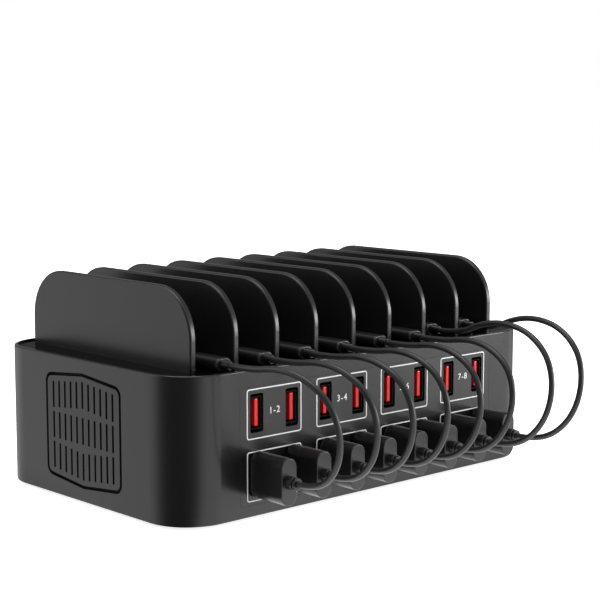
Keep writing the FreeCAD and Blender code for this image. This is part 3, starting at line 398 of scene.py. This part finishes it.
def board_laminate(name):
    """Green circuit board with lighter copper tracks under the lacquer."""
    material, tree = new_finish(name)
    sockets = {
        "Vector": tree.place(),
        "Scale": TRACK_SCALE,
        "Mortar Size": 0.03,
        "Color1": grey(0),
        "Color2": grey(60),
        "Mortar": WHITE,
    }
    cells = tree.node("ShaderNodeTexBrick", {"offset": 0.37, "squash": 0.6}, sockets, 1)
    glass = tree.noise(0.6 * MM, 3)
    lacquer = tree.mix(glass, colour(8, 58, 30), colour(16, 78, 40))
    tree.surface({
        "Base Color": tree.mix(cells * 0.6, lacquer, colour(70, 140, 70)),
        "Roughness": 0.3 + glass * 0.2,
        "Normal": tree.bump(cells, 0.04 * MM, 0.5),
    })
    return material


def transformer_finish(name):
    """Dark ferrite, with yellow tape on the winding that stands out in front and behind."""
    low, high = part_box("transformer")
    material, tree = new_finish(name)
    outer = abs(tree.axis(1)) > WINDING_SHARE * (high.y - low.y) / 2
    tape = outer * (tree.axis(2) > low.z + TAPE_START)
    sockets = {"Vector": tree.place(), "Scale": TAPE_SCALE, "Distortion": 0.6}
    layers = tree.node("ShaderNodeTexWave", {"bands_direction": "Z"}, sockets)
    grain = tree.noise(0.5 * MM, 4)
    tree.surface({
        "Base Color": tree.mix(
            tape,
            tree.mix(grain, grey(36), grey(58)),
            tree.mix(layers, colour(206, 164, 36), colour(226, 190, 66)),
        ),
        "Roughness": 0.65 - tape * 0.3 + grain * 0.15,
        "Normal": tree.bump(layers * tape + grain * 0.3, 0.08 * MM),
    })
    return material


def capacitor_finish(name):
    """Black sleeves with a pale stripe, and bare aluminium tops."""
    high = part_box("bulk_capacitors")[1]
    material, tree = new_finish(name)
    top = tree.axis(2) > high.z - CAN_TOP
    stripe = tree.axis(0) > high.x - SLEEVE_STRIPE
    grain = tree.noise(0.8 * MM, 3)
    sleeve = tree.mix(stripe, tree.mix(grain, grey(24), grey(38)), grey(170))
    tree.surface({
        "Base Color": tree.mix(top, sleeve, grey(190)),
        "Metallic": top * 0.9,
        "Roughness": 0.35 + grain * 0.15,
        "Normal": tree.bump(grain, 0.02 * MM),
    })
    return material


def wire_insulation(name):
    """Soft wire covering: red and black by turns."""
    material, tree = new_finish(name)
    texture = tree.noise(0.5 * MM, 3)
    across = tree.node("ShaderNodeCombineXYZ", None, {0: tree.axis(0)})
    lane = tree.node("ShaderNodeTexChecker", None, {"Vector": across, "Scale": WIRE_SCALE}, 1)
    tree.surface({
        "Base Color": tree.mix(lane, colour(150, 20, 22), tree.mix(texture, grey(22), grey(40))),
        "Roughness": 0.45 + texture * 0.15,
        "Normal": tree.bump(texture, 0.03 * MM),
    })
    return material


def cable_sheath(name):
    """Matt cable covering with a faint pulled grain."""
    material, tree = new_finish(name)
    texture = tree.noise(0.25 * MM, 3)
    cloud = tree.noise(9 * MM, 2)
    tree.surface({
        "Base Color": tree.mix(cloud * 0.6 + texture * 0.4, grey(26), grey(38)),
        "Roughness": 0.3 + texture * 0.14,
        "Normal": tree.bump(texture, 0.02 * MM, 0.6),
        "IOR": 1.5,
    })
    return material


def white_ink(name):
    """Screen-printed ink, slightly uneven."""
    material, tree = new_finish(name)
    texture = tree.noise(0.3 * MM, 3)
    tree.surface({
        "Base Color": tree.mix(texture, grey(226), grey(246)),
        "Roughness": 0.5 + texture * 0.2,
        "Normal": tree.bump(texture, 0.01 * MM, 0.5),
    })
    return material


# Darker and lighter colour, roughness, size and depth of the texture, and whether its grille slots and
# groove get painted shade
MOULDED = {
    "shell_plastic": (grey(17), grey(24), 0.22, 0.45 * MM, 0.008 * MM, True),
    "divider_plastic": (grey(16), grey(22), 0.3, 0.4 * MM, 0.008 * MM),
    "panel_plastic": (grey(18), grey(24), 0.24, 0.4 * MM, 0.008 * MM),
    "grille_plastic": (grey(17), grey(24), 0.32, 0.45 * MM, 0.008 * MM, True),
    "inlet_plastic": (grey(20), grey(28), 0.38, 0.4 * MM, 0.01 * MM),
    "switch_plastic": (grey(20), grey(28), 0.38, 0.4 * MM, 0.01 * MM),
    "rocker_plastic": (grey(16), grey(22), 0.26, 0.5 * MM, 0.006 * MM),
    "plug_plastic": (grey(20), grey(26), 0.3, 0.5 * MM, 0.01 * MM),
    "connector_plastic": (grey(14), grey(20), 0.36, 0.5 * MM, 0.01 * MM),
}

# Darker and lighter colour, and roughness
PLATED = {
    "screw_steel": (grey(150), grey(190), 0.34),
    "socket_metal": (grey(22), grey(34), 0.5),
    "plated_metal": (grey(172), grey(206), 0.24),
    "sink_aluminium": (grey(166), grey(192), 0.42),
    "pin_brass": (colour(190, 150, 78), colour(216, 180, 104), 0.26),
}

SINGLE = {
    "deck_gloss": gloss_black,
    "foot_rubber": soft_rubber,
    "tongue_red": red_nylon,
    "board_laminate": board_laminate,
    "ferrite": transformer_finish,
    "capacitor_sleeve": capacitor_finish,
    "wire_insulation": wire_insulation,
    "cable_sheath": cable_sheath,
}

FINISHES = {name: moulded_plastic(name, *look) for name, look in MOULDED.items()}
FINISHES.update({name: plated_metal(name, *look) for name, look in PLATED.items()})
FINISHES.update({name: make(name) for name, make in SINGLE.items()})
INK = white_ink("white_ink")


def dress_nodes():
    """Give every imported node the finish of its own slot."""
    for node in nodes.values():
        for index, given in enumerate(node.data.materials):
            node.data.materials[index] = FINISHES[given.name.split(".")[0]]


# Printed marks

def middle_of(name):
    low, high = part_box(name)
    return (low + high) / 2


def rounded_corners(width, height, radius):
    """Points round a rectangle with round corners, in X and Z about its middle."""
    points = []
    for corner, (side, level) in enumerate(((1, 1), (-1, 1), (-1, -1), (1, -1))):
        for step in range(ARC_STEPS + 1):
            angle = math.radians(90 * (corner + step / ARC_STEPS))
            x = side * (width / 2 - radius) + radius * math.cos(angle)
            z = level * (height / 2 - radius) + radius * math.sin(angle)
            points.append((x, z))
    return points


def frame_ring(mesh, x, z, front, back):
    """One printed frame: a thin flat ring with round corners."""
    loops = []
    for inset in (0, FRAME_LINE):
        width, height = FRAME_WIDTH - 2 * inset, FRAME_HEIGHT - 2 * inset
        outline = rounded_corners(width, height, FRAME_ROUND - inset)
        for y in (front, back):
            loops.append([mesh.verts.new((x + dx, y, z + dz)) for dx, dz in outline])
    outer_front, outer_back, inner_front, inner_back = loops
    for first, second in (
        (outer_front, inner_front),
        (inner_front, inner_back),
        (inner_back, outer_back),
        (outer_back, outer_front),
    ):
        for index, corner in enumerate(first):
            after = (index + 1) % len(first)
            mesh.faces.new((corner, first[after], second[after], second[index]))


def new_piece(name, mesh, finish, body):
    """A mesh piece with its finish, riding on a body."""
    bmesh.ops.recalc_face_normals(mesh, faces=mesh.faces)
    data = bpy.data.meshes.new(name)
    mesh.to_mesh(data)
    mesh.free()
    piece = bpy.data.objects.new(name, data)
    bpy.context.scene.collection.objects.link(piece)
    data.materials.append(finish)
    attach(piece, body)


def group_middles():
    """X of the middle of each pair of ports."""
    ports = [middle_of(f"plug_{number}").x for number in range(1, LEADS + 1)]
    return [(ports[2 * group] + ports[2 * group + 1]) / 2 for group in range(GROUPS)]


def printed_sign(name, text, place, turn, body):
    """A few characters in ink, centred at a place and turned about Z from facing the front."""
    words = bpy.data.curves.new(name, "FONT")
    words.body = text
    words.size = SIGN_SIZE
    words.offset = SIGN_WEIGHT
    words.space_character = SIGN_SPACING
    words.align_x = "CENTER"
    words.align_y = "CENTER"
    words.extrude = (INK_PROUD + INK_SUNK) / 2
    words.materials.append(INK)
    sign = bpy.data.objects.new(name, words)
    bpy.context.scene.collection.objects.link(sign)
    sign.location = place
    sign.rotation_euler = (math.radians(90), 0, turn)
    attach(sign, body)


def printed_marks():
    """White frames round each pair of ports, and the ports' numbers."""
    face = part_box("port_panel")[0].y
    front, back = face - INK_PROUD, face + INK_SUNK
    rows = {"lower": middle_of("plug_1").z, "upper": middle_of("upper_socket_shells").z}
    for row, z in rows.items():
        mesh = bmesh.new()
        for x in group_middles():
            frame_ring(mesh, x, z - FRAME_DROP[row], front, back)
        new_piece(f"printed_frames_{row}", mesh, INK, "housing")
    for group, x in enumerate(group_middles()):
        pair = f"{2 * group + 1}-{2 * group + 2}"
        place = (x, (front + back) / 2, rows["upper"])
        printed_sign(f"printed_number_{group + 1}", pair, place, 0, "housing")


def switch_signs():
    """The usual bar and ring on the switch's two halves. It rests with the ring's half pressed in."""
    low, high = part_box("switch_rocker")
    for name, (sign, share) in SWITCH_SIGNS.items():
        above = (low.x + share * (high.x - low.x), high.y + SIGN_SIZE, (low.z + high.z) / 2)
        _, spot, normal, _ = nodes["switch_rocker"].ray_cast(above, (0, -1, 0))
        place = spot + normal * (INK_PROUD - INK_SUNK) / 2
        printed_sign(name, sign, place, math.atan2(normal.x, -normal.y), "switch_rocker")


# Charging leads

def lead_route(number):
    """The points of a lead, from its plug's relief to its connector's boot."""
    plug_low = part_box(f"plug_{number}")[0]
    boot_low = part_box(f"connector_{number}")[0]
    start, end = middle_of(f"plug_{number}"), middle_of(f"connector_{number}")
    start.y, end.y = plug_low.y, boot_low.y
    from_plug, from_connector = SHORT_FROM_PLUG, SHORT_FROM_CONNECTOR
    if number in LONG_LEADS:
        from_plug, from_connector = LONG_FROM_PLUG, LONG_FROM_CONNECTOR
    points = []
    for route, origin in ((from_plug, start), (from_connector, end)):
        for share, out, up in route:
            x = start.x + share * (end.x - start.x)
            points.append(Vector((x, origin.y - out, origin.z + up)))
    return points


def charging_lead(number):
    """A lead as a round curve that leaves its plug."""
    points = lead_route(number)
    name = f"charging_lead_{number}"
    line = bpy.data.curves.new(name, "CURVE")
    line.dimensions = "3D"
    line.bevel_depth = CABLE_DIAMETER / 2
    line.bevel_resolution = CABLE_ROUND_STEPS
    line.resolution_u = CABLE_LENGTH_STEPS
    spline = line.splines.new("NURBS")
    spline.points.add(len(points) - 1)
    for point, place in zip(spline.points, points):
        point.co = (*place, 1)
    spline.order_u = 3
    spline.use_endpoint_u = True
    line.materials.append(FINISHES["cable_sheath"])
    lead = bpy.data.objects.new(name, line)
    bpy.context.scene.collection.objects.link(lead)
    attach(lead, "housing")
    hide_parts(f"lead_{number}")
    on_it = [nodes[f"plug_{number}"], nodes[f"connector_{number}"]]
    if number == 1:
        on_it += [nodes["plug_shells"], nodes["connector_tips"]]


# Stage

def camera():
    """The view of the photograph."""
    view = bpy.data.cameras.new("photo_view")
    view.sensor_width = SENSOR_WIDTH
    view.lens = LENS
    holder = bpy.data.objects.new("photo_view", view)
    holder.location = CAMERA_PLACE
    holder.rotation_euler = Euler([math.radians(angle) for angle in CAMERA_TURN])
    bpy.context.scene.collection.objects.link(holder)
    bpy.context.scene.camera = holder


def ray_kinds(tree):
    """Whether a ray comes from the camera, and whether it comes off gloss or through glass."""
    seen, glossy, through = (
        tree.node("ShaderNodeLightPath", output=name)
        for name in ("Is Camera Ray", "Is Glossy Ray", "Is Transmission Ray")
    )
    return seen, tree.clamp(glossy + through)


def room_level(tree, way, dim_ways, losses):
    """How bright gloss sees the studio that way: white, dim near some ways and duller toward others."""
    def along(direction):
        sockets = {0: way, 1: direction}
        return tree.node("ShaderNodeVectorMath", {"operation": "DOT_PRODUCT"}, sockets, 1)
    facing = along(dim_ways[0])
    for dim_way in dim_ways[1:]:
        facing = tree.maths("MAXIMUM", facing, along(dim_way))
    level = tree.node("ShaderNodeValToRGB", {"stops": DIM_STOPS}, {0: facing * 0.5 + 0.5})
    for direction, loss in losses:
        level = level * (1 - tree.clamp(along(direction)) * loss)
    return level


def floor_level(tree):
    """How bright gloss sees the floor: as the studio beyond, and brighter close to the part's front."""
    spot = tree.node("ShaderNodeNewGeometry", output=0)
    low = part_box("outer_shell")[0]
    near_corner = (low.x + CORNER_INSET, low.y + CORNER_INSET, 0)
    away = tree.node("ShaderNodeVectorMath", {"operation": "SUBTRACT"}, {0: spot, 1: near_corner})
    way = tree.node("ShaderNodeVectorMath", {"operation": "NORMALIZE"}, {0: away})
    x, y = (tree.node("ShaderNodeSeparateXYZ", None, {0: spot}, number) for number in (0, 1))
    near = tree.clamp(1 - abs(y - low.y) / NEAR_REACH) * tree.clamp((x - low.x) / NEAR_REACH)
    return room_level(tree, way, FLOOR_DIM, FLOOR_LOSSES) * (1 + near * NEAR_GAIN)


def white_floor():
    """A white floor that keeps the soft shadow under the part."""
    mesh = bmesh.new()
    bmesh.ops.create_grid(mesh, x_segments=1, y_segments=1, size=FLOOR_REACH)
    data = bpy.data.meshes.new("floor")
    mesh.to_mesh(data)
    mesh.free()
    floor = bpy.data.objects.new("floor", data)
    bpy.context.scene.collection.objects.link(floor)
    material, tree = new_finish("floor_white")
    seen, mirrored = ray_kinds(tree)
    mirror = {"Color": floor_level(tree), "Strength": FLOOR_MIRRORED}
    paper = tree.node("ShaderNodeBsdfDiffuse", None, {"Color": WHITE})
    bright = tree.node("ShaderNodeEmission", None, mirror)
    plain = tree.node("ShaderNodeMixShader", None, {0: mirrored, 1: paper, 2: bright})
    glow = tree.node("ShaderNodeEmission", None, {"Color": WHITE, "Strength": FLOOR_GLOW})
    lifted = tree.node("ShaderNodeAddShader", None, {0: paper, 1: glow})
    shown = tree.node("ShaderNodeMixShader", None, {0: seen, 1: plain, 2: lifted})
    tree.node("ShaderNodeOutputMaterial", None, {"Surface": shown})
    data.materials.append(material)


def studio_world():
    """White all round for the eye, and even light on the part."""
    world = bpy.data.worlds.new("studio")
    bpy.context.scene.world = world
    tree = Tree(world)
    seen, mirrored = ray_kinds(tree)
    way = tree.node("ShaderNodeTexCoord", output=0)
    fill = tree.mix(mirrored, grey(FILL_LEVEL), room_level(tree, way, SKY_DIM, SKY_LOSSES))
    tint = tree.mix(seen, fill, WHITE)
    sky = tree.node("ShaderNodeBackground", None, {"Color": tint, "Strength": 1.0})
    tree.node("ShaderNodeOutputWorld", None, {"Surface": sky})


def softbox(name, place, size, power):
    """A large square lamp that faces the part."""
    lamp = bpy.data.lights.new(name, "AREA")
    lamp.shape = "SQUARE"
    lamp.size = size
    lamp.energy = power
    holder = bpy.data.objects.new(name, lamp)
    holder.location = place
    aim = (cad_low + cad_high) / 2 - Vector(place)
    holder.rotation_euler = aim.to_track_quat("-Z", "Y").to_euler()
    bpy.context.scene.collection.objects.link(holder)


dress_nodes()
printed_marks()
switch_signs()
for number in range(1, LEADS + 1):
    charging_lead(number)
camera()
white_floor()
studio_world()
for name, setup in SOFTBOXES.items():
    softbox(name, *setup)
bpy.context.scene.view_settings.view_transform = "Standard"
